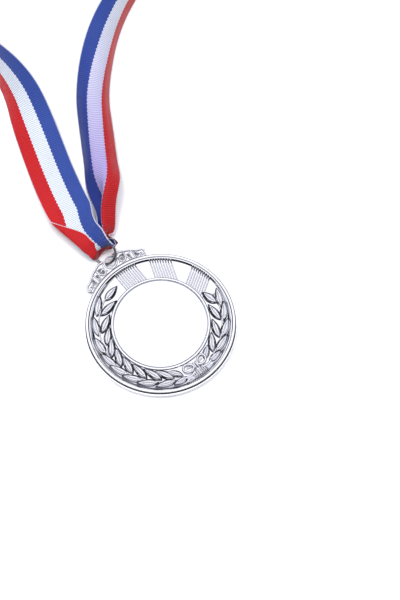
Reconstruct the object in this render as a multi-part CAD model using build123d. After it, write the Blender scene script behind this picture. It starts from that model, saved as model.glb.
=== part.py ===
"""Award medal lying on its back, with its jump ring and neck ribbon.

Millimetres. The origin is the centre of the medal's flat back, +Z is out of its face and +Y points to
the crown. One STEP file per node goes to parts/.
"""
import math
import os

from build123d import *

# medal casting
MEDAL_R = 32.5
RIM_TOP_Z = 4.0
RIM_INNER_R = 30.2
BAND_Z = 2.2
BAND_OUTER_R = 28.3
LIP_Z = 2.8
LIP_OUTER_R = 20.8
LIP_INNER_R = 20.1
SEAT_R = 19.9
SEAT_Z = 1.6
BACK_EDGE = 0.6

# insert and its adhesive
INSERT_R = 19.8
INSERT_T = 0.6
ADHESIVE_R = 19.0
ADHESIVE_T = 0.15

# relief on the band
RELIEF_ROOT = 0.3
LEAF_H = 0.7
RIB_H = 0.55
RIB_W = 0.45
RIB_PITCH = 0.8

# crown and eyelet
CROWN_Z0 = 1.5
CROWN_Z1 = 3.1
EYE_Y = 35.8
EYE_R = 2.2
EYE_COLLAR_R = 3.1
EYE_CHAMFER = 0.35

# jump ring: leaned over in the eyelet, with its far side lifted
RING_R = 5.3
WIRE_D = 1.15
RING_LEAN = 37
RING_LIFT = 30
RING_YAW = -25
EYE_Z = (CROWN_Z0 + CROWN_Z1) / 2

# ribbon
RIBBON_W = 20.0
RIBBON_T = 0.6
FLAT_Z = 0.5
FOLD_W = 6.0
FOLD_R = 2.0
FOLD_LEG = 10.0
FOLD_GAP = 0.4
FOLD_TURN = 15
STITCH_D = 0.4
STITCH_LEN = 1.8

# ribbon routes, from the ring outwards
LEFT_RUNS = [(2.6, 66, 4.8), (8, 86, 2.6), (15.6, 114, 0.5), (23, 141, 0.5)]
RIGHT_RUNS = [(8, 63.8, 1.8), (20, 81.5, 0.5), (55, 133, 0.5)]
LOOP_RUNS = [
    (23, 141), (9, 185), (6, 238), (30, 286), (81, 312), (138, 306), (177, 266), (184, 212),
    (161, 165), (114, 142), (55, 133),
]
CORNER_SHARE = 0.45


def polar(radius, degrees):
    """Point on the face, with the angle counted clockwise from the crown."""
    turn = math.radians(degrees)
    return radius * math.sin(turn), radius * math.cos(turn)


def disc_with_rim():
    outline = [
        (0, 0), (MEDAL_R - BACK_EDGE, 0), (MEDAL_R, BACK_EDGE), (MEDAL_R, RIM_TOP_Z - 0.9),
        (MEDAL_R - 0.9, RIM_TOP_Z), (RIM_INNER_R + 0.5, RIM_TOP_Z), (RIM_INNER_R, RIM_TOP_Z - 0.4),
        (BAND_OUTER_R, BAND_Z), (LIP_OUTER_R, BAND_Z), (LIP_OUTER_R - 0.1, LIP_Z),
        (LIP_INNER_R, LIP_Z), (SEAT_R, LIP_Z - 0.3), (SEAT_R, SEAT_Z), (0, SEAT_Z),
    ]
    profile = Plane.XZ * make_face(Polyline(*outline, close=True))
    return revolve(profile, Axis.Z)


def leaf(base, tip, width):
    """Pointed, flat-topped leaf between two places on the band."""
    start, end = Vector(*base), Vector(*tip)
    across = Vector(-(end - start).Y, (end - start).X).normalized() * (width / 2)
    middle = (start + end) / 2
    edge = ThreePointArc(start, middle + across, end) + ThreePointArc(end, middle - across, start)
    return Pos(0, 0, BAND_Z - RELIEF_ROOT) * extrude(make_face(edge), LEAF_H + RELIEF_ROOT)


def branch(side, inner_angles, outer_angles):
    """Two rows of leaves that lean out of one stem; side is 1 for the right branch, -1 for the left."""
    leaves = []
    for angle in inner_angles:
        base, tip = polar(26.0, side * (angle + 8.5)), polar(22.0, side * (angle - 8.0))
        leaves.append(leaf(base, tip, 2.7))
    for angle in outer_angles:
        base, tip = polar(26.2, side * (angle + 8.5)), polar(29.0, side * (angle - 5.5))
        leaves.append(leaf(base, tip, 2.7))
    return leaves


def ribbed_block(angle, lean):
    """Parallel ribs across the band, from the lip to the cove."""
    ribs = []
    centre = Pos(*polar(24.6, angle), 0) * Rot(0, 0, -lean)
    for index in range(11):
        offset = (index - 5) * RIB_PITCH
        rib = Box(RIB_W, 7.0, RIB_H + RELIEF_ROOT, align=(Align.CENTER, Align.CENTER, Align.MIN))
        ribs.append(centre * Pos(offset, 0, BAND_Z - RELIEF_ROOT) * rib)
    return ribs


def bow():
    """Knot, two loops and two tails at the foot of the wreath."""
    place = Pos(0, -24.4, BAND_Z - RELIEF_ROOT)
    parts = [place * Box(1.7, 4.2, 1.2, align=(Align.CENTER, Align.CENTER, Align.MIN))]
    for side in (-1, 1):
        loop = Ellipse(2.3, 1.9) - Ellipse(1.3, 0.9)
        parts.append(place * Pos(side * 2.9, 0.3, 0) * extrude(loop, 1.0))
        tail = Polygon((side * 0.5, -1.5), (side * 3.6, -3.6), (side * 1.9, -4.0), (0, -2.0), align=None)
        parts.append(place * extrude(tail, 0.9))
    return parts


def crown_plate():
    """Openwork crest on the rim, with its eyelet."""
    half = [(4.6, 38.1), (7.6, 37.0), (10.8, 35.2), (13.2, 33.5), (14.9, 31.9), (14.6, 29.9), (12.6, 29.2)]
    outline = [(-x, y) for x, y in reversed(half)] + [(0, 38.7)] + half
    plate = make_face(Polyline(*outline, (0, 31.4), close=True))
    for side in (-1, 1):
        plate -= Pos(side * 5.0, 34.5) * Ellipse(1.25, 1.65)
        plate -= Pos(side * 8.1, 33.5) * Rot(0, 0, side * -20) * Ellipse(0.65, 1.5)
        plate -= Polygon(
            (side * 9.6, 32.1), (side * 9.9, 34.2), (side * 12.9, 32.2), (side * 12.4, 31.3), align=None
        )
    crest = Pos(0, 0, CROWN_Z0) * extrude(plate, CROWN_Z1 - CROWN_Z0)
    collar = Pos(0, EYE_Y, CROWN_Z0) * extrude(Circle(EYE_COLLAR_R), CROWN_Z1 - CROWN_Z0)
    return crest + collar


def eyelet_bore():
    """Cutter for the eyelet: a straight hole with both edges eased."""
    half_depth = (CROWN_Z1 - CROWN_Z0) / 2
    ease_r = EYE_R + EYE_CHAMFER
    profile = Polyline(
        (0, -half_depth - 1), (ease_r + 1, -half_depth - 1), (EYE_R, -half_depth + EYE_CHAMFER),
        (EYE_R, half_depth - EYE_CHAMFER), (ease_r + 1, half_depth + 1), (0, half_depth + 1), close=True,
    )
    return Pos(0, EYE_Y, EYE_Z) * revolve(Plane.XZ * make_face(profile), Axis.Z)


def medal_body():
    body = disc_with_rim() + crown_plate()
    body += branch(-1, (157, 146, 134, 120, 105, 80, 65, 51, 33), (148, 132, 118, 104, 90, 75, 56, 36, 20))
    body += branch(1, (162, 149, 133, 115, 98), (148, 133, 118, 104))
    body += ribbed_block(5.5, 0) + ribbed_block(40, 20) + ribbed_block(77, 57)
    body += bow()
    return body - eyelet_bore()


def insert_adhesive():
    return Pos(0, 0, SEAT_Z) * extrude(Circle(ADHESIVE_R), ADHESIVE_T)


def centre_insert():
    return Pos(0, 0, SEAT_Z + ADHESIVE_T) * extrude(Circle(INSERT_R), INSERT_T)


def ring_plane():
    """Plane of the ring: its X runs along the wire in the eyelet, its Y to the ring's far side."""
    lean, lift = math.radians(RING_LEAN), math.radians(RING_LIFT)
    along = Vector(math.cos(lean), 0, math.sin(lean))
    far = Vector(-math.sin(lean) * math.sin(lift), math.cos(lift), math.cos(lean) * math.sin(lift))
    along, far = along.rotate(Axis.Z, RING_YAW), far.rotate(Axis.Z, RING_YAW)
    eye = Vector(0, EYE_Y, EYE_Z)
    return Plane(origin=eye + far * RING_R, x_dir=along, z_dir=along.cross(far))


def jump_ring():
    return ring_plane() * Torus(RING_R, WIRE_D / 2)


def wire_at_fold():
    """Place of the ribbon's fold on the ring's wire, and the wire's direction there."""
    plane = ring_plane()
    turn = math.radians(FOLD_TURN)
    place = plane.origin + (plane.y_dir * math.cos(turn) - plane.x_dir * math.sin(turn)) * RING_R
    return place, plane.x_dir * math.cos(turn) + plane.y_dir * math.sin(turn)


def fold_frame():
    """The fold's centre, the way its two legs run, and the way across them."""
    place, wire_dir = wire_at_fold()
    out = Vector(0, 0, 1).cross(wire_dir).normalized()
    return place, out, wire_dir.cross(out)


def ribbon_ring_fold():
    place, out, up = fold_frame()
    top_end, top = place + out * FOLD_LEG + up * FOLD_R, place + up * FOLD_R
    low_end, low = place + out * FOLD_LEG - up * FOLD_R, place - up * FOLD_R
    path = Line(top_end, top) + ThreePointArc(top, place - out * FOLD_R, low) + Line(low, low_end)
    section = Plane(origin=top_end, x_dir=out.cross(up), z_dir=-out) * Rectangle(FOLD_W, RIBBON_T)
    return sweep(section, path)


def rounded_route(points):
    """Straight runs joined by tangent arcs, each as large as its two runs allow."""
    corners = [Vector(*point) for point in points]
    radii = []
    for before, corner, after in zip(corners, corners[1:], corners[2:]):
        run_in, run_out = corner - before, after - corner
        shorter = min(run_in.length, run_out.length)
        half_turn = math.radians(run_in.get_angle(run_out) / 2)
        radii.append(CORNER_SHARE * shorter / math.tan(half_turn))
    return FilletPolyline(*corners, radius=radii), radii


def strip(name, points, across_size, upright_size):
    """Strip of ribbon swept along a route that bends in one plane only."""
    path, radii = rounded_route(points)
    start = Plane(origin=path @ 0, x_dir=(path % 0).cross(Vector(0, 0, 1)), z_dir=path % 0)
    solid = sweep(start * Rectangle(across_size, upright_size), path)
    expected = across_size * upright_size * path.length
    print(name, "length", round(path.length, 1), "volume ratio", round(solid.volume / expected, 4))
    print("   radii", [round(radius, 1) for radius in radii])
    return solid


def strand(name, side, runs):
    """Flat strip from the upper leg of the fold (side 1) or the lower leg (side -1)."""
    place, out, up = fold_frame()
    start = place + out * (FOLD_LEG + FOLD_GAP) + up * (side * FOLD_R)
    return strip(name, [(start.X, start.Y, start.Z)] + runs, RIBBON_W, RIBBON_T)


def ribbon_neck_loop():
    points = [(x, y, FLAT_Z - RIBBON_T / 2 + RIBBON_W / 2) for x, y in LOOP_RUNS]
    return strip("ribbon_neck_loop", points, RIBBON_T, RIBBON_W)


def ribbon_stitching():
    """Two rows of stitches through the lapped ends, in the middle of the loop's far run."""
    start, end = Vector(*LOOP_RUNS[3], 0), Vector(*LOOP_RUNS[4], 0)
    along = (end - start).normalized()
    out = Vector(-along.Y, along.X, 0)
    middle = (start + end) / 2 + out * (RIBBON_T / 2 + STITCH_D / 2)
    stitches = []
    for row in (-1.5, 1.5):
        for index in range(7):
            height = FLAT_Z + 2.2 + index * 2.5
            spot = middle + along * row + Vector(0, 0, height)
            place = Plane(origin=spot, x_dir=along, z_dir=Vector(0, 0, 1))
            stitches.append(place * Box(STITCH_D, STITCH_D, STITCH_LEN))
    return Compound(children=stitches)


def build_parts():
    return {
        "medal_body": medal_body(),
        "insert_adhesive": insert_adhesive(),
        "centre_insert": centre_insert(),
        "jump_ring": jump_ring(),
        "ribbon_ring_fold": ribbon_ring_fold(),
        "ribbon_left_strand": strand("ribbon_left_strand", 1, LEFT_RUNS),
        "ribbon_right_strand": strand("ribbon_right_strand", -1, RIGHT_RUNS),
        "ribbon_neck_loop": ribbon_neck_loop(),
        "ribbon_stitching": ribbon_stitching(),
    }


def main():
    os.makedirs("parts", exist_ok=True)
    place, wire_dir = wire_at_fold()
    print("fold hinge", place, wire_dir)
    for name, solid in build_parts().items():
        export_step(solid, f"parts/{name}.step")


main()
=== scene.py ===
"""Award medal on its back, with jump ring and striped ribbon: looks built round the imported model."""
import math

import bmesh
import bpy
import numpy as np
from mathutils import Matrix, Vector


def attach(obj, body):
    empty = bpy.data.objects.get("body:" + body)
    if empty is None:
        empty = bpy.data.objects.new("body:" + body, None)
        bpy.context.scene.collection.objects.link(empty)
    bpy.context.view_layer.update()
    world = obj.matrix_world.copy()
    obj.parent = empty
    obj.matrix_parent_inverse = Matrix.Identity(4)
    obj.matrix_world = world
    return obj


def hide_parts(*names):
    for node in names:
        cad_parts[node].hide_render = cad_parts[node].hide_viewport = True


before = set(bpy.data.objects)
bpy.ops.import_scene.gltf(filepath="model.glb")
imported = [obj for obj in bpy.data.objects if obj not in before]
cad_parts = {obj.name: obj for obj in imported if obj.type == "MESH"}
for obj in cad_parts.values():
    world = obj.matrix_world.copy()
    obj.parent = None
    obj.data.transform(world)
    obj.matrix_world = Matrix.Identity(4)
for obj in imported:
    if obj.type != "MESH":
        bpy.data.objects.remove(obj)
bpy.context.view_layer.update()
MM = 0.001

# ---------------------------------------------------------------- sizes, in millimetres

BAND_Z = 2.2
SEAT_Z = 1.6
INSERT_R = 19.8
INSERT_Z0 = 1.75
INSERT_Z1 = 2.35
EYE = (0.0, 35.8, 2.3)
EYE_R = 2.2
CROWN_Z0 = 1.5
CROWN_Z1 = 3.1

RIBBON_W = 20.0
RIBBON_T = 0.5
RIB_PITCH = 0.9
WARP_PITCH = 0.4
THREAD_D = 0.38
STITCH_LENGTH = 1.7


# ---------------------------------------------------------------- mesh helpers

def linear(hex_colour):
    """sRGB hex to linear RGBA."""
    channels = [int(hex_colour[i:i + 2], 16) / 255 for i in (1, 3, 5)]
    return [c / 12.92 if c <= 0.04045 else ((c + 0.055) / 1.055) ** 2.4 for c in channels] + [1.0]


def new_object(name, data):
    """Object at the origin with the given data, put in the scene."""
    obj = bpy.data.objects.new(name, data)
    bpy.context.scene.collection.objects.link(obj)
    return obj


def finished_mesh(obj):
    """Plain mesh of an object as its curve or its modifiers leave it."""
    return bpy.data.meshes.new_from_object(obj.evaluated_get(bpy.context.evaluated_depsgraph_get()))


def mesh_object(name, verts_mm, faces, smooth=True, corner_shade=None):
    """Object at the origin from vertices in millimetres; the last argument gives each vertex its painted
    shade, 1 where it lies in a corner.
    """
    mesh = bpy.data.meshes.new(name)
    mesh.from_pydata([tuple(c * MM for c in v) for v in verts_mm], [], faces)
    if corner_shade:
        mesh.attributes.new("corner_shade", "FLOAT", "POINT").data.foreach_set("value", corner_shade)
    mesh.validate()
    mesh.update()
    if smooth:
        mesh.polygons.foreach_set("use_smooth", [True] * len(mesh.polygons))
    return new_object(name, mesh)


def clean_mesh(obj, merge_mm=0.002):
    """Merge doubles and point every face outwards."""
    shape = bmesh.new()
    shape.from_mesh(obj.data)
    bmesh.ops.remove_doubles(shape, verts=shape.verts, dist=merge_mm * MM)
    bmesh.ops.recalc_face_normals(shape, faces=shape.faces)
    shape.to_mesh(obj.data)
    shape.free()
    return obj


def sharpen(obj, degrees):
    """Keep edges sharper than the given angle crisp."""
    obj.data.set_sharp_from_angle(angle=math.radians(degrees))
    return obj


def joined(name, objects):
    """One object from several, all at the origin."""
    shape = bmesh.new()
    shape.verts.layers.float.new("corner_shade")
    for obj in objects:
        shape.from_mesh(obj.data)
    mesh = bpy.data.meshes.new(name)
    shape.to_mesh(mesh)
    shape.free()
    for material in objects[0].data.materials:
        mesh.materials.append(material)
    for obj in objects:
        bpy.data.objects.remove(obj)
    return new_object(name, mesh)


def arc_points(centre, radius, start, end, count):
    """Points on an arc, angles in degrees."""
    turns = np.radians(np.linspace(start, end, count))
    return [(centre[0] + radius * math.cos(t), centre[1] + radius * math.sin(t)) for t in turns]


def rounded_profile(points):
    """Outline of (r, z, fillet radius) corners with each corner rounded; open ended."""
    result = [points[0][:2]]
    for before, corner, after in zip(points, points[1:], points[2:]):
        here = np.array(corner[:2])
        to_before, to_after = np.array(before[:2]) - here, np.array(after[:2]) - here
        len_before, len_after = np.linalg.norm(to_before), np.linalg.norm(to_after)
        to_before, to_after = to_before / len_before, to_after / len_after
        half = math.acos(np.clip(to_before @ to_after, -1, 1)) / 2
        cut = min(corner[2] / math.tan(half), 0.49 * len_before, 0.49 * len_after)
        steps = 6 if corner[2] > 0 else 1
        start, end = here + to_before * cut, here + to_after * cut
        for step in range(steps + 1):
            t = step / steps
            point = (1 - t) ** 2 * start + 2 * t * (1 - t) * here + t * t * end
            result.append(tuple(point))
    result.append(points[-1][:2])
    return result


# ---------------------------------------------------------------- ribbon

# Route of the ribbon's middle, from inside the ring out along the left strand, round the neck loop and
# back along the right strand: x, y, z and the way its blue edge lies.
RIBBON_ROUTE = [
    ((0.0, 42.6, 5.6), (0.86, 0.05, 0.48)),
    ((-0.3, 42.5, 7.0), (0.87, 0.0, 0.45)),
    ((-0.7, 46.8, 8.2), (0.89, -0.06, 0.40)),
    ((-1.2, 53.5, 7.3), (0.97, -0.12, 0.20)),
    ((-0.6, 62.0, 5.6), (0.98, -0.14, 0.0)),
    ((1.8, 73.5, 4.0), (0.97, -0.22, 0.05)),
    ((6.4, 90.0, 2.6), (0.96, -0.28, 0.10)),
    ((12.5, 110.0, 3.0), (0.91, -0.27, 0.25)),
    ((18.5, 132.0, 7.0), (0.60, -0.15, 0.70)),
    ((17.0, 160.0, 10.6), (0.10, -0.02, 1.0)),
    ((8.0, 200.0, 10.6), (0.0, 0.0, 1.0)),
    ((9.0, 247.0, 10.6), (0.0, 0.0, 1.0)),
    ((37.0, 291.0, 10.6), (0.0, 0.0, 1.0)),
    ((87.0, 311.0, 10.6), (0.0, 0.0, 1.0)),
    ((141.0, 301.0, 10.6), (0.0, 0.0, 1.0)),
    ((178.0, 260.0, 10.6), (0.0, 0.0, 1.0)),
    ((182.0, 206.0, 10.6), (0.0, 0.0, 1.0)),
    ((157.0, 164.0, 10.6), (0.0, 0.0, 1.0)),
    ((115.0, 149.0, 10.6), (0.0, 0.0, 1.0)),
    ((76.0, 135.0, 9.8), (-0.20, 0.35, 0.90)),
    ((46.0, 111.0, 6.0), (-0.70, 0.50, 0.45)),
    ((32.0, 88.0, 5.0), (-0.80, 0.52, 0.10)),
    ((21.0, 69.0, 5.2), (-0.80, 0.48, 0.05)),
    ((13.8, 57.5, 5.0), (-0.80, 0.45, 0.10)),
    ((9.4, 51.0, 4.2), (-0.75, 0.45, 0.45)),
    ((5.0, 47.4, 3.4), (-0.10, 0.10, 1.0)),
    ((1.8, 45.6, 3.9), (0.62, -0.05, 0.75)),
    ((0.3, 42.7, 4.2), (0.86, 0.05, 0.50)),
    ((0.0, 42.6, 5.6), (0.86, 0.05, 0.48)),
]
ROUTE_STEPS = 12
ACROSS_STEPS = 48
# the sewn ends lie double over this length, on the outward (1) or inward (-1) face
LAP_LENGTH = 14.0
LAP_SIDE = 1
FLOOR_GAP = 0.2


def guide_points(name, points_mm):
    """Points along a smooth curve with the given control points, as an array in metres."""
    curve = bpy.data.curves.new(name, "CURVE")
    curve.dimensions = "3D"
    curve.resolution_u = ROUTE_STEPS
    spline = curve.splines.new("NURBS")
    spline.points.add(len(points_mm) - 1)
    for point, (x, y, z) in zip(spline.points, points_mm):
        point.co = (x * MM, y * MM, z * MM, 1.0)
    spline.order_u = 3
    spline.use_endpoint_u = True
    holder = new_object(name, curve)
    mesh = finished_mesh(holder)
    result = np.array([v.co[:] for v in mesh.vertices])
    bpy.data.objects.remove(holder)
    bpy.data.curves.remove(curve)
    bpy.data.meshes.remove(mesh)
    return result


def smoothstep(low, high, value):
    """0 below low, 1 above high, with an eased rise between them."""
    t = np.clip((value - low) / (high - low), 0, 1)
    return t * t * (3 - 2 * t)


def ribbon_bend(width, out, back):
    """Slope of the ribbon across its width, in degrees, at a distance from the ring on either strand.

    The out strand is a shallow hollow that turns to a low crown. The back strand is a tall pleat, which
    closes towards the ring until the white band lies between the red and the blue one.
    """
    wrap = 1 - smoothstep(0.5, 6, min(out, back))
    share = width / RIBBON_W - 0.5
    if out < back:
        hollow = 34 * (1 - smoothstep(8, 30, out))
        crowned = 34 * smoothstep(24, 55, out) * (1 - smoothstep(80, 140, out))
        return (110 * wrap + (1 - wrap) * (hollow - crowned)) * share
    loose = smoothstep(75, 160, back)
    opened = smoothstep(13, 46, back)
    soft = 1.2 + 3.0 * opened
    past_red = smoothstep(RIBBON_W / 3 - soft, RIBBON_W / 3 + soft, width)
    past_white = smoothstep(RIBBON_W * 2 / 3 - soft, RIBBON_W * 2 / 3 + soft, width)
    red, white, blue = 46 * opened, -165 + 157 * opened, -68 * opened
    pleat = red + (white - red) * past_red + (blue - white) * past_white
    return 110 * wrap * share + (1 - wrap) * (1 - loose) * pleat


def ribbon_section(out, back):
    """Cross-section of the ribbon as (along width, along normal, slope), in millimetres and radians.

    Towards the ring the red edge turns up and over, and its crease moves in until the red band lies on
    the white one.
    """
    width = np.linspace(0, RIBBON_W, ACROSS_STEPS + 1)
    fold = 1 - smoothstep(8, 29, out) if out < back else 1 - smoothstep(3, 14, back)
    crease = -1.4 + 7.9 * fold
    angle = np.radians(ribbon_bend(width, out, back))
    angle = angle - math.radians(172) * (1 - smoothstep(crease - 1.3, crease + 1.3, width))
    step = RIBBON_W / ACROSS_STEPS
    middle = (angle[:-1] + angle[1:]) / 2
    along = np.concatenate([[0], np.cumsum(np.cos(middle) * step)])
    lift = np.concatenate([[0], np.cumsum(np.sin(middle) * step)])
    along -= (along.min() + along.max()) / 2
    level = np.interp(max(crease, 0) / 2 + RIBBON_W / 2, width, lift)
    pleated = smoothstep(3, 10, back) * (1 - smoothstep(75, 160, back)) if back < out else 0.0
    lift -= level + pleated * ((lift.min() + lift.max()) / 2 - level)
    return along, lift, angle


def ribbon_frames():
    """Centres, directions and distances along the ribbon's route, in millimetres."""
    centres = guide_points("ribbon_line", [p for p, _ in RIBBON_ROUTE]) / MM
    edges = guide_points("ribbon_edge", [np.add(p, e) for p, e in RIBBON_ROUTE]) / MM
    tangents = np.gradient(centres, axis=0)
    tangents[0] = tangents[-1] = (tangents[0] + tangents[-1]) / 2
    tangents /= np.linalg.norm(tangents, axis=1)[:, None]
    across = edges - centres
    across -= (across * tangents).sum(1)[:, None] * tangents
    across /= np.linalg.norm(across, axis=1)[:, None]
    normals = np.cross(across, tangents)
    distance = np.concatenate([[0], np.cumsum(np.linalg.norm(np.diff(centres, axis=0), axis=1))])
    return centres, tangents, across, normals, distance


def woven_ribbon():
    """The whole closed ribbon as one shell, with its width and its length as UV, and its middle line."""
    centres, _, across, normals, distance = ribbon_frames()
    total = distance[-1]
    rows = len(centres) - 1
    verts = []
    for row in range(rows):
        along, lift, angle = ribbon_section(distance[row], total - distance[row])
        lapped = abs(distance[row] - total / 2) < LAP_LENGTH / 2
        layers = []
        for side in (1, -1):
            half = RIBBON_T / 2 + (RIBBON_T if lapped and side == LAP_SIDE else 0.0)
            a = along - np.sin(angle) * side * half
            n = lift + np.cos(angle) * side * half
            layers.append(centres[row] + a[:, None] * across[row] + n[:, None] * normals[row])
        # a row that would dip under the floor is raised as a whole
        raise_by = max(0.0, FLOOR_GAP - min(layer[:, 2].min() for layer in layers))
        for layer in (layers[0], layers[1][::-1]):
            layer[:, 2] += raise_by
            verts += [tuple(v) for v in layer]
    row_len = 2 * (ACROSS_STEPS + 1)
    faces = []
    for row in range(rows):
        a, b = row * row_len, (row + 1) % rows * row_len
        for i in range(row_len):
            j = (i + 1) % row_len
            faces.append((a + i, a + j, b + j, b + i))
    obj = mesh_object("neck_ribbon", verts, faces)
    weave = obj.data.uv_layers.new(name="weave")
    widths = list(np.linspace(0, 1, ACROSS_STEPS + 1))
    widths += widths[::-1]
    for poly, (first, *_) in zip(obj.data.polygons, faces):
        closing = first // row_len == rows - 1
        for loop, corner in zip(poly.loop_indices, poly.vertices):
            row, column = divmod(corner, row_len)
            along_mm = total if closing and row == 0 else distance[row]
            weave.data[loop].uv = (widths[column], along_mm * MM)
    return obj, [tuple(c * MM) for c in centres]


# ---------------------------------------------------------------- node helpers

def add_node(tree, kind, inputs=None, **settings):
    """Add a node, set its properties, and give each input a value or a socket to follow."""
    node = tree.nodes.new(kind)
    for key, value in settings.items():
        setattr(node, key, value)
    for key, value in (inputs or {}).items():
        if isinstance(value, bpy.types.NodeSocket):
            tree.links.new(value, node.inputs[key])
        else:
            node.inputs[key].default_value = value
    return node


def calc(tree, operation, *values):
    """Result of one step of arithmetic on numbers or sockets."""
    return add_node(tree, "ShaderNodeMath", dict(enumerate(values)), operation=operation).outputs[0]


def remap(tree, value, given=(0.0, 1.0), wanted=(0.0, 1.0)):
    """The value brought from the given range to the wanted one, and held within it."""
    return add_node(tree, "ShaderNodeMapRange", {
        "Value": value, "From Min": given[0], "From Max": given[1],
        "To Min": wanted[0], "To Max": wanted[1]}).outputs[0]


def shape_tree(name, sockets):
    """Geometry node tree with the named inputs and one geometry output."""
    tree = bpy.data.node_groups.new(name, "GeometryNodeTree")
    tree.interface.new_socket("Geometry", in_out="OUTPUT", socket_type="NodeSocketGeometry")
    for socket_name, kind in sockets.items():
        tree.interface.new_socket(socket_name, in_out="INPUT", socket_type=kind)
    return tree, tree.nodes.new("NodeGroupInput").outputs


def close_tree(tree, geometry, finish):
    """End a tree: real geometry, smooth, with its finish."""
    real = add_node(tree, "GeometryNodeRealizeInstances", {"Geometry": geometry})
    smooth = add_node(tree, "GeometryNodeSetShadeSmooth", {"Geometry": real.outputs[0]})
    finished = add_node(tree, "GeometryNodeSetMaterial", {"Geometry": smooth.outputs[0], "Material": finish})
    output = tree.nodes.new("NodeGroupOutput")
    tree.links.new(finished.outputs[0], output.inputs[0])


def made_by_nodes(name, tree, inputs, start=None):
    """Plain mesh object from a node tree with the given inputs."""
    holder = start or mesh_object(name + "_start", [(0, 0, 0)], [])
    modifier = holder.modifiers.new("shape", "NODES")
    modifier.node_group = tree
    for item in tree.interface.items_tree:
        if item.item_type == "SOCKET" and item.in_out == "INPUT" and item.name in inputs:
            modifier[item.identifier] = inputs[item.name]
    mesh = finished_mesh(holder)
    holder.modifiers.remove(modifier)
    bpy.data.objects.remove(holder)
    mesh.name = name
    return clean_mesh(new_object(name, mesh))


def turned_tree():
    """A profile in the XZ plane turned about the vertical axis, as on a lathe."""
    tree, given = shape_tree("turned_piece", {
        "Profile": "NodeSocketObject", "Segments": "NodeSocketInt", "Finish": "NodeSocketMaterial"})
    profile = add_node(tree, "GeometryNodeObjectInfo", {"Object": given["Profile"]})
    size = add_node(tree, "GeometryNodeAttributeDomainSize", {"Geometry": profile.outputs["Geometry"]})
    columns = calc(tree, "ADD", given["Segments"], 1.0)
    grid = add_node(tree, "GeometryNodeMeshGrid", {
        "Vertices X": size.outputs["Point Count"], "Vertices Y": columns})
    index = add_node(tree, "GeometryNodeInputIndex")
    ratio = calc(tree, "DIVIDE", index.outputs[0], columns)
    row = calc(tree, "FLOOR", ratio)
    column = calc(tree, "MODULO", index.outputs[0], columns)
    place = add_node(tree, "GeometryNodeInputPosition")
    sample = add_node(tree, "GeometryNodeSampleIndex", {
        "Geometry": profile.outputs["Geometry"], "Value": place.outputs[0], "Index": row,
    }, data_type="FLOAT_VECTOR")
    share = calc(tree, "DIVIDE", column, given["Segments"])
    turn = calc(tree, "MULTIPLY", share, 2 * math.pi)
    turned = add_node(tree, "ShaderNodeVectorRotate", {
        "Vector": sample.outputs[0], "Angle": turn}, rotation_type="Z_AXIS")
    moved = add_node(tree, "GeometryNodeSetPosition", {
        "Geometry": grid.outputs["Mesh"], "Position": turned.outputs[0]})
    sewn = add_node(tree, "GeometryNodeMergeByDistance", {"Geometry": moved.outputs[0], "Distance": 2e-6})
    close_tree(tree, sewn.outputs[0], given["Finish"])
    return tree


TURNED = turned_tree()


def turned_piece(name, corners, finish, segments=360):
    """Turned piece from its (r, z, fillet) corners, starting and ending on the axis."""
    outline = rounded_profile(corners)
    edges = [(i, i + 1) for i in range(len(outline) - 1)]
    mesh = bpy.data.meshes.new(name + "_profile")
    mesh.from_pydata([(r * MM, 0, z * MM) for r, z in outline], edges, [])
    profile = new_object(name + "_profile", mesh)
    obj = made_by_nodes(name, TURNED, {"Profile": profile, "Segments": segments, "Finish": finish})
    bpy.data.objects.remove(profile)
    return obj


def copies_tree():
    """One small unit copied to each point, turned and sized by that point's own attributes."""
    tree, given = shape_tree("placed_copies", {
        "Points": "NodeSocketGeometry", "Unit": "NodeSocketObject", "Unit size": "NodeSocketFloat",
        "Finish": "NodeSocketMaterial"})
    unit = add_node(tree, "GeometryNodeObjectInfo", {"Object": given["Unit"]})
    turn = add_node(tree, "GeometryNodeInputNamedAttribute", {"Name": "turn"}, data_type="FLOAT_VECTOR")
    size = add_node(tree, "GeometryNodeInputNamedAttribute", {"Name": "size"}, data_type="FLOAT_VECTOR")
    scaled = add_node(tree, "ShaderNodeVectorMath", {
        0: size.outputs[0], "Scale": given["Unit size"]}, operation="SCALE")
    copies = add_node(tree, "GeometryNodeInstanceOnPoints", {
        "Points": given["Points"], "Instance": unit.outputs["Geometry"], "Rotation": turn.outputs[0],
        "Scale": scaled.outputs[0]})
    close_tree(tree, copies.outputs[0], given["Finish"])
    return tree


COPIES = copies_tree()


def placed_copies(name, unit, spots, finish):
    """Copies of a unit mesh at (place in mm, turn as Euler angles, size) spots, as one mesh."""
    points = mesh_object(name + "_spots", [spot[0] for spot in spots], [], smooth=False)
    for attribute, column in (("turn", 1), ("size", 2)):
        layer = points.data.attributes.new(attribute, "FLOAT_VECTOR", "POINT")
        layer.data.foreach_set("vector", np.array([spot[column] for spot in spots], dtype=float).ravel())
    obj = made_by_nodes(name, COPIES, {"Unit": unit, "Unit size": 1.0, "Finish": finish}, start=points)
    bpy.data.objects.remove(unit)
    return obj


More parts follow.
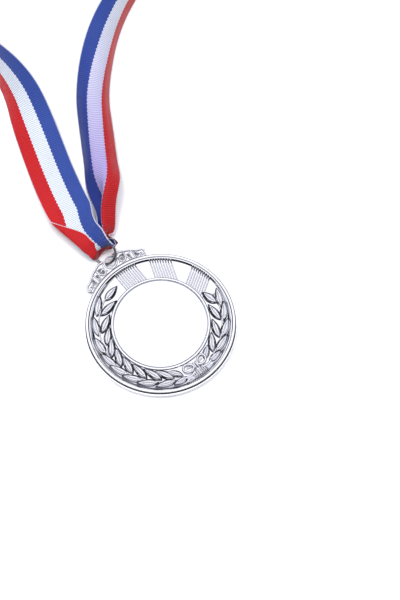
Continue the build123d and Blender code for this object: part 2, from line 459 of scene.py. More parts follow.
def ribs_tree():
    """Parallel ribs from one radius to another, rising with the cove at the band's edge."""
    measures = ("First offset", "Last offset", "Inner radius", "Outer radius", "Cove radius", "Band height",
                "Cove height", "Rib radius", "Lean")
    tree, given = shape_tree("parallel_ribs", {
        "Ribs": "NodeSocketInt", **dict.fromkeys(measures, "NodeSocketFloat"),
        "Finish": "NodeSocketMaterial"})
    steps = 24
    index = add_node(tree, "GeometryNodeInputIndex")
    ratio = calc(tree, "DIVIDE", index.outputs[0], steps + 0.0)
    row = calc(tree, "FLOOR", ratio)
    column = calc(tree, "MODULO", index.outputs[0], steps + 0.0)
    last_row = calc(tree, "SUBTRACT", given["Ribs"], 1.0)
    offset = remap(tree, row, (0.0, last_row), (given["First offset"], given["Last offset"]))
    offset_sq = calc(tree, "MULTIPLY", offset, offset)
    ends = []
    for socket in ("Inner radius", "Outer radius"):
        radius_sq = calc(tree, "MULTIPLY", given[socket], given[socket])
        rest = calc(tree, "SUBTRACT", radius_sq, offset_sq)
        ends.append(calc(tree, "SQRT", rest))
    along = remap(tree, column, (0.0, steps - 1.0), (ends[0], ends[1]))
    flat = add_node(tree, "ShaderNodeCombineXYZ", {"X": offset, "Y": along})
    radius = add_node(tree, "ShaderNodeVectorMath", {0: flat.outputs[0]}, operation="LENGTH")
    height = add_node(tree, "ShaderNodeMapRange", {
        "Value": radius.outputs["Value"], "From Min": given["Cove radius"], "From Max": given["Outer radius"],
        "To Min": given["Band height"], "To Max": given["Cove height"]}, interpolation_type="SMOOTHSTEP")
    place = add_node(tree, "ShaderNodeCombineXYZ", {
        "X": offset, "Y": along, "Z": height.outputs[0]})
    leaned = add_node(tree, "ShaderNodeVectorRotate", {
        "Vector": place.outputs[0], "Angle": given["Lean"]}, rotation_type="Z_AXIS")
    count = calc(tree, "MULTIPLY", given["Ribs"], steps + 0.0)
    points = add_node(tree, "GeometryNodePoints", {"Count": count, "Position": leaned.outputs[0]})
    lines = add_node(tree, "GeometryNodePointsToCurves", {
        "Points": points.outputs[0], "Curve Group ID": row})
    section = add_node(tree, "GeometryNodeCurvePrimitiveCircle", {
        "Resolution": 10, "Radius": given["Rib radius"]})
    ribs = add_node(tree, "GeometryNodeCurveToMesh", {
        "Curve": lines.outputs[0], "Profile Curve": section.outputs[0], "Fill Caps": True})
    close_tree(tree, ribs.outputs[0], given["Finish"])
    return tree


# ---------------------------------------------------------------- finishes

def new_finish(name, roughness=0.5, metallic=0.0, **constants):
    """Principled material with its all-over values on the shader's own sockets, and the object's places."""
    finish = bpy.data.materials.new(name)
    finish.use_nodes = True
    tree = finish.node_tree
    shader = tree.nodes["Principled BSDF"]
    shader.inputs["Roughness"].default_value = roughness
    shader.inputs["Metallic"].default_value = metallic
    for key, value in constants.items():
        shader.inputs[key.replace("_", " ").title()].default_value = value
    return finish, tree, shader, add_node(tree, "ShaderNodeTexCoord").outputs["Object"]


def mixed(tree, share, first, second):
    """Colour that runs from the first to the second as the share rises; each is a hex or a socket."""
    first, second = [linear(end) if isinstance(end, str) else end for end in (first, second)]
    mix = add_node(tree, "ShaderNodeMix", {"Factor": share, 6: first, 7: second}, data_type="RGBA")
    return mix.outputs[2]


def give(tree, shader, **sockets):
    """Let the shader's inputs follow the given sockets."""
    for key, socket in sockets.items():
        tree.links.new(socket, shader.inputs[key.replace("_", " ").title()])


def bright_nickel_casting():
    """Zinc die casting, barrel polished and plated with bright nickel.

    The polished land mirrors what is round it, slightly rippled where the mould was hand finished; the
    low band between the relief is a little duller, where the polishing mop can't reach, and darker with
    painted shade.
    """
    finish, tree, shader, place = new_finish("bright_nickel_casting", metallic=1.0)
    axes = add_node(tree, "ShaderNodeSeparateXYZ", {0: place})
    flat = add_node(tree, "ShaderNodeCombineXYZ", {"X": axes.outputs["X"], "Y": axes.outputs["Y"]})
    radius = add_node(tree, "ShaderNodeVectorMath", {0: flat.outputs[0]}, operation="LENGTH")
    past_lip = remap(tree, radius.outputs["Value"], (20.9 * MM, 21.5 * MM))
    inside_rim = remap(tree, radius.outputs["Value"], (29.2 * MM, 28.4 * MM))
    low = remap(tree, axes.outputs["Z"], (2.75 * MM, 2.25 * MM))
    in_band = calc(tree, "MULTIPLY", past_lip, inside_rim)
    satin_and_shade_band = calc(tree, "MULTIPLY", in_band, low)
    # plating tone drifts over about 9 mm
    cloud = add_node(tree, "ShaderNodeTexNoise", {"Vector": place, "Scale": 110.0, "Detail": 2.0})
    plate = mixed(tree, cloud.outputs["Fac"], "#F0F0F4", "#E6E7ED")
    # painted shade darkens the low band between the relief
    shaded_band_plate = mixed(tree, satin_and_shade_band, plate, "#E4E5EB")
    # painted shade in the corners at the foot of the relief, as much as each vertex is given
    corner = add_node(tree, "ShaderNodeAttribute", attribute_name="corner_shade")
    corner_shade_share = remap(tree, corner.outputs["Fac"], (0.2, 0.9), (0.0, 0.9))
    tone = mixed(tree, corner_shade_share, shaded_band_plate, "#3A3A44")
    # polishing scuffs about 0.8 mm apart
    scuff = add_node(tree, "ShaderNodeTexNoise", {"Vector": place, "Scale": 1250.0, "Detail": 3.0})
    scuff_rough = remap(tree, scuff.outputs["Fac"], (0.35, 0.75), (0.03, 0.09))
    rough = calc(tree, "MULTIPLY_ADD", satin_and_shade_band, 0.03, scuff_rough)
    # ripple left by hand finishing, about 3 mm long
    ripple = add_node(tree, "ShaderNodeTexNoise", {"Vector": place, "Scale": 330.0, "Detail": 1.0})
    bump = add_node(tree, "ShaderNodeBump", {
        "Height": ripple.outputs["Fac"], "Strength": 0.35, "Distance": 0.06 * MM})
    give(tree, shader, base_color=tone, roughness=rough, normal=bump.outputs[0])
    return finish


def mirror_insert():
    """Thin steel disc, rolled bright and lacquered: a mirror with a cold cast and hairline scuffs."""
    finish, tree, shader, place = new_finish("mirror_rolled_steel", metallic=1.0)
    # rolling marks run one way, 0.25 mm apart and 12 mm long
    stretch = add_node(tree, "ShaderNodeMapping", {
        "Vector": place, "Rotation": (0, 0, 0.4), "Scale": (80.0, 4000.0, 80.0)})
    hairs = add_node(tree, "ShaderNodeTexNoise", {"Vector": stretch.outputs[0], "Scale": 1.0, "Detail": 2.0})
    rough = remap(tree, hairs.outputs["Fac"], (0.3, 0.8), (0.06, 0.14))
    cloud = add_node(tree, "ShaderNodeTexNoise", {"Vector": place, "Scale": 60.0, "Detail": 1.0})
    tone = mixed(tree, cloud.outputs["Fac"], "#F6F7FB", "#EDF0F8")
    give(tree, shader, base_color=tone, roughness=rough)
    return finish


def ring_wire_finish():
    """Drawn steel wire in black nickel: a dark, slightly streaked gloss along the wire."""
    finish, tree, shader, place = new_finish("black_nickel_wire", metallic=1.0)
    streak = add_node(tree, "ShaderNodeTexNoise", {"Vector": place, "Scale": 900.0, "Detail": 3.0})
    tone = mixed(tree, streak.outputs["Fac"], "#8C8A92", "#B9B7BE")
    rough = remap(tree, streak.outputs["Fac"], (0.3, 0.7), (0.14, 0.26))
    give(tree, shader, base_color=tone, roughness=rough)
    return finish


def adhesive_finish():
    """Pressure-sensitive acrylic film: clear with a yellow cast and trapped bubbles about 1 mm across."""
    finish, tree, shader, place = new_finish("acrylic_adhesive_film", roughness=0.35)
    bubbles = add_node(tree, "ShaderNodeTexVoronoi", {"Vector": place, "Scale": 900.0})
    give(tree, shader, base_color=mixed(tree, bubbles.outputs["Distance"], "#EFE7C8", "#D9CFA6"))
    return finish


def ribbon_weave(length):
    """Polyester grosgrain, woven with three bands of dyed warp; length is the ribbon's own, in metres.

    Filament yarn gives it a soft satin sheen; ribs of weft cross it every 0.9 mm, and each dyed band
    meets the next in steps, one for each rib. The selvedge is a paler, doubled edge thread.
    """
    finish, tree, shader, place = new_finish(
        "grosgrain_polyester", roughness=0.62, sheen_weight=0.12, sheen_roughness=0.4)
    uv = add_node(tree, "ShaderNodeUVMap", uv_map="weave")
    axes = add_node(tree, "ShaderNodeSeparateXYZ", {0: uv.outputs[0]})
    width, along = axes.outputs["X"], axes.outputs["Y"]
    # ribs of weft
    rib_turn = calc(tree, "MULTIPLY", along, math.pi / (RIB_PITCH * MM))
    rib_wave = calc(tree, "SINE", rib_turn)
    rib = calc(tree, "ABSOLUTE", rib_wave)
    # warp threads 0.4 mm apart
    warp_turn = calc(tree, "MULTIPLY", width, 2 * math.pi * RIBBON_W / WARP_PITCH)
    warp = calc(tree, "SINE", warp_turn)
    weave = calc(tree, "MULTIPLY_ADD", warp, 0.12, rib)
    # the bands meet in steps of about 0.25 mm, one for each rib
    step = calc(tree, "SIGN", rib_wave)
    stepped = calc(tree, "MULTIPLY_ADD", step, 0.12 / RIBBON_W, width)
    lit_and_shaded_bands = []
    # first the bands' own colours, then a darker, lilac-tinted copy that paints shade
    for red, white, blue in (("#B80F17", "#CDD4E1", "#2A4492"), ("#A80D15", "#9F95C9", "#1F3180")):
        bands = add_node(tree, "ShaderNodeValToRGB", {0: stepped})
        ramp = bands.color_ramp
        ramp.interpolation = "CONSTANT"
        ramp.elements[0].color = linear(red)
        ramp.elements[1].position, ramp.elements[1].color = 0.333, linear(white)
        ramp.elements.new(0.664).color = linear(blue)
        lit_and_shaded_bands.append(bands.outputs[0])
    # painted shade: the back strand takes the darker, lilac-tinted copy of the bands, in full over its last
    # 40 mm to the ring and fading out by 130 mm
    shaded_strand_share = remap(tree, along, (length - 0.13, length - 0.04))
    dyed = mixed(tree, shaded_strand_share, *lit_and_shaded_bands)
    # selvedge 0.3 to 0.4 mm wide along both edges
    from_middle = calc(tree, "SUBTRACT", width, 0.5)
    off_middle = calc(tree, "ABSOLUTE", from_middle)
    selvedge = remap(tree, off_middle, (0.480, 0.486), (0.0, 0.75))
    shown = mixed(tree, selvedge, dyed, "#D9DAE4")
    # painted shade in the grooves between the ribs, with a touch of painted highlight on their crests, and
    # the dye drifts over 20 mm
    groove_shade = remap(tree, weave, wanted=(0.5, 1.06))
    dye = add_node(tree, "ShaderNodeTexNoise", {"Vector": place, "Scale": 50.0, "Detail": 2.0})
    dye_tone = remap(tree, dye.outputs["Fac"], wanted=(0.9, 1.1))
    depth = calc(tree, "MULTIPLY", groove_shade, dye_tone)
    colour = add_node(tree, "ShaderNodeVectorMath", {0: shown, "Scale": depth}, operation="SCALE")
    bump = add_node(tree, "ShaderNodeBump", {
        "Height": weave, "Strength": 0.8, "Distance": 0.12 * MM})
    give(tree, shader, base_color=colour.outputs[0], normal=bump.outputs[0])
    return finish


def thread_finish():
    """Spun polyester sewing thread, white, with its plies twisted round each other."""
    finish, tree, shader, place = new_finish("spun_polyester_thread", roughness=0.7, sheen_weight=0.3)
    plies = add_node(tree, "ShaderNodeTexWave", {"Vector": place, "Scale": 260.0, "Distortion": 1.5},
                     bands_direction="DIAGONAL")
    bump = add_node(tree, "ShaderNodeBump", {"Height": plies.outputs["Fac"], "Distance": 0.05 * MM})
    tone = mixed(tree, plies.outputs["Fac"], "#D8DAE2", "#F7F8FB")
    give(tree, shader, base_color=tone, normal=bump.outputs[0])
    return finish


NICKEL = bright_nickel_casting()
MIRROR = mirror_insert()
WIRE = ring_wire_finish()
THREAD = thread_finish()


# ---------------------------------------------------------------- casting

def on_face(radius, degrees):
    """Place on the face, with the angle counted clockwise from the crown."""
    turn = math.radians(degrees)
    return np.array([radius * math.sin(turn), radius * math.cos(turn)])


def medal_disc():
    """Disc with a rolled rim, a cove inside it, the relief band, the lip and the insert's seat."""
    corners = [
        (0, 0), (31.7, 0.0, 0.5), (32.5, 0.7, 0.6), (32.5, 3.2, 0.8), (31.7, 4.0, 0.9), (30.75, 4.0, 0.5),
        (30.35, 3.6, 0.2), (29.95, 3.5, 0.2), (29.4, 2.75, 0.6), (28.4, 2.3, 1.2), (27.2, BAND_Z, 0.8),
        (21.35, BAND_Z, 0.1), (21.0, 2.7, 0.2), (20.3, 2.7, 0.2), (20.0, 2.2, 0.05), (19.95, SEAT_Z, 0.02),
        (0, SEAT_Z),
    ]
    return turned_piece("medal_disc", corners, NICKEL)


def leaf_unit():
    """Laurel leaf along +Y, one unit long and wide: broad slopes, a flat top and a slit midrib."""
    around = 16
    rings = [(0.0, 0.34), (0.07, 0.36), (0.14, 0.56), (0.22, 0.64), (0.44, 0.65), (0.54, 0.59), (0.66, 0.44),
             (0.80, 0.24), (0.92, 0.10), (1.04, 0.02), (1.08, 0.0), (1.08, -0.4)]
    outline = []
    for side in (1, -1):
        for step in range(around):
            t = step / around if side == 1 else 1 - step / around
            bulge = math.sin(math.pi * t) ** 0.85 * (1 + 0.12 * math.cos(math.pi * t))
            outline.append((side * 0.5 * bulge, t - 0.5))
    verts, faces, corner_shade, count = [], [], [], len(outline)
    for share, height in rings:
        verts += [(share * x, 0.5 + (0.5 + 0.5 * share) * y, height) for x, y in outline]
        # painted shade in the midrib's slit and at the leaf's foot
        corner_shade += [float(np.interp(share, (0.0, 0.12, 0.6, 0.8, 1.0), (0.8, 0.0, 0.0, 0.8, 1.0)))] * count
    for ring in range(len(rings) - 1):
        a, b = ring * count, (ring + 1) * count
        faces += [(a + i, b + i, b + (i + 1) % count, a + (i + 1) % count) for i in range(count)]
    faces.append(tuple(range((len(rings) - 1) * count, len(rings) * count)))
    return clean_mesh(mesh_object("leaf_unit", verts, faces, corner_shade=corner_shade))


# Leaves of the wreath: (angle of the leaf's middle, radius at base, radius at tip, half its sweep in
# degrees, width in mm); positive angles run down the right branch.
WREATH = (
    [(-19.6, 26.1, 25.5, 10.0, 3.2), (-34.2, 26.0, 21.5, 11.0, 3.2), (-52.4, 25.5, 22.0, 10.8, 3.2),
     (-66.6, 25.0, 21.8, 10.3, 3.1)]
    + [(-a, 25.8, 21.9, 10.3, 3.1) for a in (80, 93, 106, 120, 134, 146)] + [(-157, 25.6, 22.3, 8.0, 2.7)]
    + [(-36.3, 27.4, 28.8, 10.0, 3.0)]
    + [(-a, 26.9, 28.7, 9.6, 3.0) for a in (56, 75, 91, 104, 118, 132, 148)]
    + [(a, 25.8, 21.9, 10.3, 3.1) for a in (149, 133, 115)] + [(98, 25.8, 22.6, 9.2, 3.5)]
    + [(a, 26.9, 28.7, 9.6, 3.0) for a in (148, 133, 117, 103)]
    + [(162, 25.0, 22.3, 8.0, 2.7)]
    + [(side * 161.5, 27.0, 28.4, 7.5, 2.7) for side in (1, -1)]
)
LEAF_TILT = 4.0
LEAF_HEIGHT = 1.4
LEAF_OVERLAP = 1.08


def wreath_leaves():
    """Two rows of leaves on each branch, every tip towards the crown."""
    spots = []
    for number, (angle, base_r, tip_r, half, width) in enumerate(WREATH):
        side = 1 if angle > 0 else -1
        base, tip = on_face(base_r, angle + side * half), on_face(tip_r, angle - side * half)
        run = tip - base
        turn = math.atan2(-run[0], run[1])
        length = float(np.hypot(*run))
        lift = 0.02 * (number % 3)
        spots.append(((base[0], base[1], BAND_Z - 0.1 + lift), (math.radians(LEAF_TILT), 0, turn),
                      (width * LEAF_OVERLAP, length, LEAF_HEIGHT)))
    return placed_copies("wreath_leaves", leaf_unit(), spots, NICKEL)


def ribbed_panels():
    """Three ribbed blocks at the top of the band, each with its lean, first and last offset and ribs."""
    tree = ribs_tree()
    panels = []
    blocks = ((0, -2.0, 7.6, 10), (20, 4.2, 12.8, 9), (57, 4.2, 12.8, 9))
    for number, (lean, first, last, ribs) in enumerate(blocks):
        panels.append(made_by_nodes(f"ribbed_panel_{number}", tree, {
            "Ribs": ribs, "First offset": first * MM, "Last offset": last * MM, "Inner radius": 21.2 * MM,
            "Outer radius": 30.0 * MM, "Cove radius": 27.9 * MM, "Band height": (BAND_Z + 0.15) * MM,
            "Cove height": 3.5 * MM, "Rib radius": 0.3 * MM, "Lean": math.radians(-lean), "Finish": NICKEL}))
    return joined("ribbed_panels", panels)


def smooth_line(points, closed=False, spacing=0.18):
    """Points a fixed distance apart on a smooth curve through the given ones."""
    corners = [np.array(p, dtype=float) for p in points]
    if closed:
        ring = [corners[-1]] + corners + corners[:2]
    else:
        ring = [2 * corners[0] - corners[1]] + corners + [2 * corners[-1] - corners[-2]]
    dense = []
    for a, b, c, d in zip(ring, ring[1:], ring[2:], ring[3:]):
        for t in np.linspace(0, 1, 12, endpoint=False):
            dense.append(0.5 * (2 * b + (c - a) * t + (2 * a - 5 * b + 4 * c - d) * t * t
                                + (3 * b - a - 3 * c + d) * t ** 3))
    dense.append(ring[-2])
    dense = np.array(dense)
    run = np.concatenate([[0], np.cumsum(np.linalg.norm(np.diff(dense, axis=0), axis=1))])
    marks = np.linspace(0, run[-1], max(3, int(run[-1] / spacing) + 1))
    line = np.column_stack([np.interp(marks, run, dense[:, k]) for k in range(dense.shape[1])])
    return line[:-1] if closed else line


def moulded_stroke(name, points, width, low, top, closed=False, taper=0.5):
    """Raised line of a casting: round on top, straight-sided below, along a smooth path.

    Points are (x, y) or (x, y, share of the width).
    """
    points = [p if len(p) == 3 else (*p, 1.0) for p in points]
    line = smooth_line(points, closed)
    flat, share = line[:, :2], line[:, 2]
    heading = np.gradient(flat, axis=0)
    if closed:
        heading = np.roll(flat, -1, axis=0) - np.roll(flat, 1, axis=0)
    heading /= np.linalg.norm(heading, axis=1)[:, None]
    side = np.column_stack([-heading[:, 1], heading[:, 0]])
    if not closed:
        run = np.concatenate([[0], np.cumsum(np.linalg.norm(np.diff(flat, axis=0), axis=1))])
        reach = np.clip(np.minimum(run, run[-1] - run) / taper, 0.0, 1.0)
        share = share * np.sqrt(np.clip(1 - (1 - reach) ** 2, 0.03, 1))
    crown_h = min(0.55 * width, top - low)
    section = [(-0.5, low), (-0.5, top - crown_h)]
    section += [(-0.5 * math.cos(a), top - crown_h + crown_h * math.sin(a)) for a in np.radians([25, 50, 75])]
    section += [(-x, z) for x, z in reversed(section)]
    # painted shade down the sides: full at the foot, lighter higher up, none on the rounded top
    depth = [float(np.interp(z, (low + 0.25, top - crown_h), (1.0, 0.25))) if z < top - 0.9 * crown_h else 0.0
             for _, z in section]
    verts, faces, corner_shade, count = [], [], [], len(section)
    for (x, y), (sx, sy), scale in zip(flat, side, share):
        corner_shade += depth
        drop = (1 - scale) * crown_h
        verts += [(x + sx * u * width * scale, y + sy * u * width * scale, z - (drop if z > low else 0))
                  for u, z in section]
    rows = len(flat)
    for row in range(rows if closed else rows - 1):
        a, b = row * count, (row + 1) % rows * count
        faces += [(a + i, a + (i + 1) % count, b + (i + 1) % count, b + i) for i in range(count)]
    if not closed:
        faces += [tuple(range(count)), tuple(reversed(range((rows - 1) * count, rows * count)))]
    return clean_mesh(mesh_object(name, verts, faces, corner_shade=corner_shade))


def mirrored(points):
    """The same path on the other side of the crown."""
    return [(-p[0], *p[1:]) for p in points]


# Paths of the crown's left half: x, y and, where it narrows, the share of the full width.
CROWN_RAIL = [(-2.3, 37.75), (-3.4, 38.05), (-4.8, 38.0), (-6.2, 37.55), (-7.7, 36.85), (-9.3, 36.0),
              (-10.8, 35.0), (-12.0, 34.0), (-13.1, 33.3), (-14.2, 32.95), (-14.95, 32.2), (-15.0, 31.2),
              (-14.4, 30.6), (-13.6, 30.75), (-13.3, 31.35, 0.8), (-13.75, 31.85, 0.6)]
CROWN_SCROLL = [(-7.0, 36.8, 0.8), (-7.1, 35.2), (-6.75, 33.8), (-5.9, 32.95), (-4.8, 32.95), (-4.15, 33.8),
                (-4.3, 34.85), (-5.1, 35.2), (-5.65, 34.7, 0.8), (-5.5, 34.15, 0.6)]
CROWN_BARS = [
    ([(-7.5, 36.6), (-7.4, 34.6), (-7.7, 32.6), (-8.2, 31.0)], 0.75),
    ([(-9.4, 35.9), (-9.2, 34.2), (-8.9, 32.4), (-9.2, 31.0)], 0.7),
    ([(-10.0, 35.4), (-10.5, 33.6), (-10.2, 31.8), (-10.6, 30.6)], 0.65),
    ([(-11.9, 34.1, 0.8), (-11.7, 33.0), (-12.3, 32.2), (-12.8, 31.3), (-12.4, 30.4)], 0.6),
    ([(-2.9, 33.2), (-3.6, 34.0), (-3.9, 35.2), (-3.6, 36.6), (-3.0, 37.5)], 0.55),
]
# Outline and openings of the web's right half.
CROWN_OUTLINE = [(0, 38.6), (1.6, 38.35), (2.9, 38.0), (4.8, 38.0), (7.7, 36.85), (10.8, 35.0),
                 (13.1, 33.3), (14.7, 32.4), (14.8, 31.0), (14.2, 29.3), (12.0, 28.6), (6.0, 31.0), (0, 31.6)]
CROWN_WINDOWS = [
    [(3.9, 33.6), (4.6, 32.9), (5.9, 33.0), (6.8, 34.0), (6.9, 35.6), (6.2, 36.4), (4.9, 36.2), (4.1, 35.2)],
    [(7.9, 34.6), (8.7, 34.6), (8.8, 32.9), (8.6, 31.9), (8.1, 32.3)],
    [(10.3, 33.9), (11.4, 33.6), (12.0, 32.5), (12.3, 31.6), (11.6, 31.2), (10.6, 31.6), (10.2, 32.6)],
]


def pierced_plate(name, outline, windows, low, top, ease):
    """Flat plate with openings and eased edges, from closed outlines."""
    curve = bpy.data.curves.new(name, "CURVE")
    curve.dimensions = "2D"
    curve.fill_mode = "BOTH"
    curve.bevel_depth = ease * MM
    curve.bevel_resolution = 3
    curve.offset = -ease * MM
    curve.extrude = ((top - low) / 2 - ease) * MM
    for loop in [outline] + windows:
        spline = curve.splines.new("POLY")
        spline.points.add(len(loop) - 1)
        for point, (x, y) in zip(spline.points, loop):
            point.co = (x * MM, y * MM, 0, 1)
        spline.use_cyclic_u = True
    holder = new_object(name, curve)
    mesh = finished_mesh(holder)
    bpy.data.objects.remove(holder)
    mesh.transform(Matrix.Translation((0, 0, (low + top) / 2 * MM)))
    return clean_mesh(new_object(name, mesh))


def crown_crest():
    """Openwork crest: pierced web, scrolled rails, bars and the foot that joins it to the rim."""
    outline = CROWN_OUTLINE + [(-x, y) for x, y in reversed(CROWN_OUTLINE) if x > 0]
    windows = []
    for loop in CROWN_WINDOWS:
        smooth = [tuple(p) for p in smooth_line(loop, closed=True, spacing=0.3)]
        windows += [smooth, [(-x, y) for x, y in smooth]]
    windows.append([(EYE[0] + x, EYE[1] + y) for x, y in arc_points((0, 0), EYE_R + 0.25, 0, 352, 45)])
    pieces = [pierced_plate("crown_web", outline, windows, CROWN_Z0 + 0.1, 2.35, 0.2)]
    for flip in (False, True):
        turn = mirrored if flip else list
        pieces.append(moulded_stroke("rail", turn(CROWN_RAIL), 1.15, CROWN_Z0 + 0.05, CROWN_Z1))
        pieces.append(moulded_stroke("scroll", turn(CROWN_SCROLL), 0.95, CROWN_Z0 + 0.1, CROWN_Z1 - 0.1))
        for points, width in CROWN_BARS:
            pieces.append(moulded_stroke("bar", turn(points), width, CROWN_Z0 + 0.1, CROWN_Z1 - 0.2))
    foot = [on_face(32.2, a) for a in np.linspace(-27, 27, 13)]
    pieces.append(moulded_stroke("crown_foot", [tuple(p) for p in foot], 1.2, CROWN_Z0 + 0.1, 2.9))
    return joined("crown_crest", pieces)


def eyelet_collar():
    """Round collar of the eyelet, with both edges of its bore eased."""
    bore, eased = EYE_R + 0.05, EYE_R + 0.35
    corners = [(bore, 2.6), (bore, 2.9, 0.1), (eased, 3.1, 0.2), (2.95, 3.1, 0.2), (3.15, 2.7, 0.2),
               (3.15, 1.8, 0.2), (2.9, 1.5, 0.2), (eased, 1.5, 0.2), (bore, 1.8, 0.15), (bore, 2.6)]
    collar = turned_piece("eyelet_collar", corners, NICKEL, segments=72)
    collar.data.transform(Matrix.Translation((EYE[0] * MM, EYE[1] * MM, 0)))
    return collar


def bow_knot():
    """Bow that ties the two branches: ridged knot, two puffed loops, fluted tails and their trailing ends."""
    y0, low = -24.3, BAND_Z - 0.3
    pieces = []
    for x in (-0.5, 0.5):
        ridge = [(x * 1.3, y0 + 1.7), (x, y0), (x * 1.3, y0 - 1.5)]
        pieces.append(moulded_stroke("knot", ridge, 0.85, low, 3.8))
    loop = [(1.0, 0.1), (1.9, 1.6), (3.5, 2.5), (5.0, 2.2), (5.5, 0.9), (4.8, -0.5), (3.2, -1.1), (1.8, -0.8)]
    crease = [(1.6, 0.3), (2.9, 0.9), (4.2, 1.0)]
    trail = [(1.0, -1.6), (3.0, -2.5), (5.2, -2.6), (7.2, -1.5)]
    for side in (-1, 1):
        placed = [[(side * x, y0 + y) for x, y in line] for line in (loop, crease, trail)]
        pieces.append(moulded_stroke("loop", placed[0], 1.15, low, 3.6, closed=True))
        pieces.append(moulded_stroke("loop_crease", placed[1], 0.7, low, 3.0, taper=0.9))
        pieces.append(moulded_stroke("trailing_end", placed[2], 1.3, low, 3.3, taper=1.5))
        for number in range(4):
            x = side * (0.5 + 0.8 * number)
            foot = [(x, y0 - 1.9), (x * 1.15, y0 - 4.6 + 0.1 * number)]
            pieces.append(moulded_stroke("tail_flute", foot, 0.6, low, 3.3, taper=0.3))
    return joined("bow_knot", pieces)


def branch_stems():
    """Thin stems under the two rows of leaves."""
    stems = []
    for start, end in ((-166, -14), (166, 96)):
        path = [tuple(on_face(26.3, a)) for a in np.linspace(start, end, 16)]
        stems.append(moulded_stroke("stem", path, 0.7, BAND_Z - 0.3, 2.65))
    return joined("branch_stems", stems)


# ---------------------------------------------------------------- insert, jump ring and stitches

def centre_disc():
    """Thin polished disc with its top edge eased."""
    corners = [(0, INSERT_Z0), (INSERT_R, INSERT_Z0, 0.05), (INSERT_R, INSERT_Z1, 0.15), (0, INSERT_Z1)]
    return turned_piece("centre_disc", corners, MIRROR)


RING_R = 5.3
WIRE_D = 1.15
# in degrees: lean of the wire where it runs through the hole, lift of the ring's far side, and the turn
# about the vertical
RING_LEAN = 37
RING_LIFT = 30
RING_YAW = -25


def split_ring_tree():
    """Round wire bent to a ring, with its two cut ends butted."""
    tree, given = shape_tree("split_ring", {
        "Ring radius": "NodeSocketFloat", "Wire radius": "NodeSocketFloat", "Split angle": "NodeSocketFloat",
        "Split": "NodeSocketFloat", "Finish": "NodeSocketMaterial"})
    sweep = calc(tree, "SUBTRACT", 2 * math.pi, given["Split"])
    line = add_node(tree, "GeometryNodeCurveArc", {
        "Resolution": 96, "Radius": given["Ring radius"], "Start Angle": given["Split angle"],
        "Sweep Angle": sweep})
    section = add_node(tree, "GeometryNodeCurvePrimitiveCircle", {
        "Resolution": 20, "Radius": given["Wire radius"]})
    wire = add_node(tree, "GeometryNodeCurveToMesh", {
        "Curve": line.outputs[0], "Profile Curve": section.outputs[0], "Fill Caps": True})
    close_tree(tree, wire.outputs[0], given["Finish"])
    return tree


def jump_ring():
    """The split ring, set in the eyelet."""
    ring = made_by_nodes("split_jump_ring", split_ring_tree(), {
        "Ring radius": RING_R * MM, "Wire radius": WIRE_D / 2 * MM, "Split angle": math.radians(25),
        "Split": math.radians(1.6), "Finish": WIRE})
    lean, lift = math.radians(RING_LEAN), math.radians(RING_LIFT)
    yaw = Matrix.Rotation(math.radians(RING_YAW), 3, "Z")
    along = yaw @ Vector((math.cos(lean), 0, math.sin(lean)))
    far = yaw @ Vector((-math.sin(lean) * math.sin(lift), math.cos(lift), math.cos(lean) * math.sin(lift)))
    centre = (Vector(EYE) + far * RING_R) * MM
    place = Matrix((along, far, along.cross(far))).transposed().to_4x4()
    place.translation = centre
    ring.data.transform(place)
    return sharpen(ring, 40)


def stitch_unit():
    """One stitch: a short round thread that dips at both ends, one unit long."""
    verts, faces, steps, around = [], [], 6, 8
    for step in range(steps + 1):
        t = step / steps
        bulge = math.sin(math.pi * t)
        radius = 0.5 * (0.25 + 0.75 * bulge ** 0.5)
        for k in range(around):
            turn = 2 * math.pi * k / around
            rise = radius * math.sin(turn) * 0.8 + 0.35 * bulge - 0.2
            verts.append((radius * math.cos(turn), rise, t - 0.5))
    for step in range(steps):
        for k in range(around):
            a, b = step * around, (step + 1) * around
            faces.append((a + k, a + (k + 1) % around, b + (k + 1) % around, b + k))
    faces += [tuple(reversed(range(around))), tuple(range(steps * around, (steps + 1) * around))]
    return mesh_object("stitch_unit", verts, faces)


def lap_stitches(ribbon_length):
    """Two rows of stitches through the lapped ends, on both faces; the ribbon's length is in metres."""
    centres, tangents, across, normals, distance = ribbon_frames()
    middle = 0.5 * ribbon_length / MM
    spots = []
    for side in (1, -1):
        lift = RIBBON_T / 2 + (RIBBON_T if side == LAP_SIDE else 0.0) + 0.02
        for row_offset in (-3.0, 3.0):
            row = int(np.argmin(np.abs(distance - (middle + row_offset))))
            out = normals[row] * side
            turn = Matrix((tangents[row].tolist(), out.tolist(), across[row].tolist())).transposed()
            for number in range(8):
                place = centres[row] + across[row] * (-7.7 + 2.2 * number)
                spots.append((tuple(place + out * lift), tuple(turn.to_euler()),
                              (THREAD_D, THREAD_D, STITCH_LENGTH)))
    return placed_copies("lap_stitches", stitch_unit(), spots, THREAD)


# ---------------------------------------------------------------- fit the pieces to their bodies

def fit(piece, body, slot, *nodes):
    """Ride on a body and stand for the CAD nodes given; the slot is not used."""
    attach(piece, body)
    if nodes:
        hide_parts(*nodes)
    return piece


fit(sharpen(medal_disc(), 50), "medal", "plated_casting", "medal_body")
castings = (wreath_leaves(), ribbed_panels(), crown_crest(), eyelet_collar(), bow_knot(), branch_stems())
for casting in castings:
    if not casting.data.materials:
        casting.data.materials.append(NICKEL)
    fit(sharpen(casting, 60), "medal", "plated_casting")
fit(sharpen(centre_disc(), 50), "medal", "polished_insert", "centre_insert")
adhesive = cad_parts["insert_adhesive"]
adhesive.data.materials.clear()
adhesive.data.materials.append(adhesive_finish())
fit(jump_ring(), "ring", "ring_wire", "jump_ring")

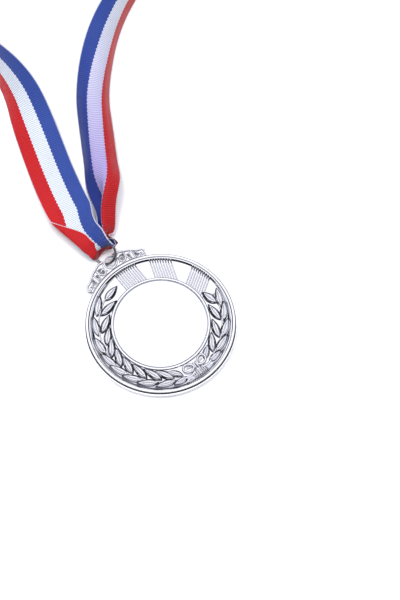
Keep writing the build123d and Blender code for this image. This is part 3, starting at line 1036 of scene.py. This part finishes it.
ribbon, ribbon_path = woven_ribbon()
laid_length = sum((Vector(b) - Vector(a)).length for a, b in zip(ribbon_path, ribbon_path[1:]))
ribbon.data.materials.append(ribbon_weave(laid_length))
fit(ribbon, "ribbon", "ribbon_weave", "ribbon_ring_fold", "ribbon_left_strand", "ribbon_right_strand",
    "ribbon_neck_loop")
stitches = lap_stitches(laid_length)
fit(stitches, "ribbon", "sewing_thread", "ribbon_stitching")


# ---------------------------------------------------------------- floor, light and camera

# half the floor's side, in millimetres
FLOOR_HALF = 4000
SKY_STRENGTH = 1.35
# (sine of the angle above the sky's own, slightly tilted horizon; brightness): dark low down, a dim strip,
# a dark gap and the white tent, which together draw the relief on polished metal
SKY_LEVELS = (
    (0.0, 0.02), (0.28, 0.003), (0.35, 0.34), (0.51, 0.34), (0.57, 0.012), (0.74, 0.006), (0.80, 1.0),
)


def pale_floor():
    """Matt white sweep with a faint grain about 2 mm across."""
    finish, tree, shader, place = new_finish("matt_white_sweep", roughness=0.85)
    grain = add_node(tree, "ShaderNodeTexNoise", {"Vector": place, "Scale": 500.0, "Detail": 2.0})
    give(tree, shader, base_color=mixed(tree, grain.outputs["Fac"], "#FBFBFD", "#F7F7FA"))
    corners = [(x * FLOOR_HALF, y * FLOOR_HALF, 0) for x, y in ((-1, -1), (1, -1), (1, 1), (-1, 1))]
    floor = mesh_object("floor", corners, [(0, 1, 2, 3)])
    floor.data.materials.append(finish)


def studio_sky():
    """White tent overhead, with a dark gap and a dim strip round it."""
    world = bpy.data.worlds.new("studio")
    bpy.context.scene.world = world
    world.use_nodes = True
    tree = world.node_tree
    direction = add_node(tree, "ShaderNodeTexCoord").outputs["Generated"]
    axis = Vector((0.03, 0.14, 1.0)).normalized()
    height = add_node(tree, "ShaderNodeVectorMath", {0: direction, 1: axis}, operation="DOT_PRODUCT")
    bands = add_node(tree, "ShaderNodeValToRGB", {0: height.outputs["Value"]})
    ramp = bands.color_ramp
    for number, (position, level) in enumerate(SKY_LEVELS):
        stop = ramp.elements[number] if number < 2 else ramp.elements.new(position)
        stop.position, stop.color = position, (level, level, level * 1.05, 1)
    background = tree.nodes["Background"]
    tree.links.new(bands.outputs[0], background.inputs["Color"])
    background.inputs["Strength"].default_value = SKY_STRENGTH


def soft_light(name, place, target, size, watts):
    """Large soft box that lights matt surfaces only, so that it leaves no shape of its own in the metal."""
    data = bpy.data.lights.new(name, "AREA")
    data.shape = "DISK"
    data.size = size
    data.energy = watts
    light = new_object(name, data)
    light.location = place
    light.rotation_mode = "QUATERNION"
    light.rotation_quaternion = (Vector(target) - Vector(place)).to_track_quat("-Z", "Y")
    light.visible_glossy = False


CAMERA_AZIMUTH = -38.0
CAMERA_ELEVATION = 67.0
CAMERA_LENS = 90.0
FRAME_HEIGHT_MM = 257.0
LOOK_AT = (19.9, -1.7, 2.0)


def set_camera():
    """Camera on the main view's line of sight, as far off as its height of frame asks."""
    data = bpy.data.cameras.new("camera")
    data.lens = CAMERA_LENS
    data.sensor_width = 36.0
    data.clip_start = 0.01
    camera = new_object("camera", data)
    azimuth, elevation = math.radians(CAMERA_AZIMUTH), math.radians(CAMERA_ELEVATION)
    back = Vector((math.sin(azimuth) * math.cos(elevation), -math.cos(azimuth) * math.cos(elevation),
                   math.sin(elevation)))
    distance = FRAME_HEIGHT_MM / data.sensor_width * data.lens
    camera.location = (Vector(LOOK_AT) + back * distance) * MM
    camera.rotation_mode = "QUATERNION"
    camera.rotation_quaternion = (-back).to_track_quat("-Z", "Y")
    bpy.context.scene.camera = camera


pale_floor()
studio_sky()
soft_light("key_tent", (-0.25, 0.45, 1.3), (0.02, 0.02, 0), 0.9, 14.0)
soft_light("fill_tent", (0.5, -0.3, 1.2), (0.02, 0.02, 0), 1.0, 9.0)
set_camera()
bpy.context.scene.view_settings.view_transform = "Standard"
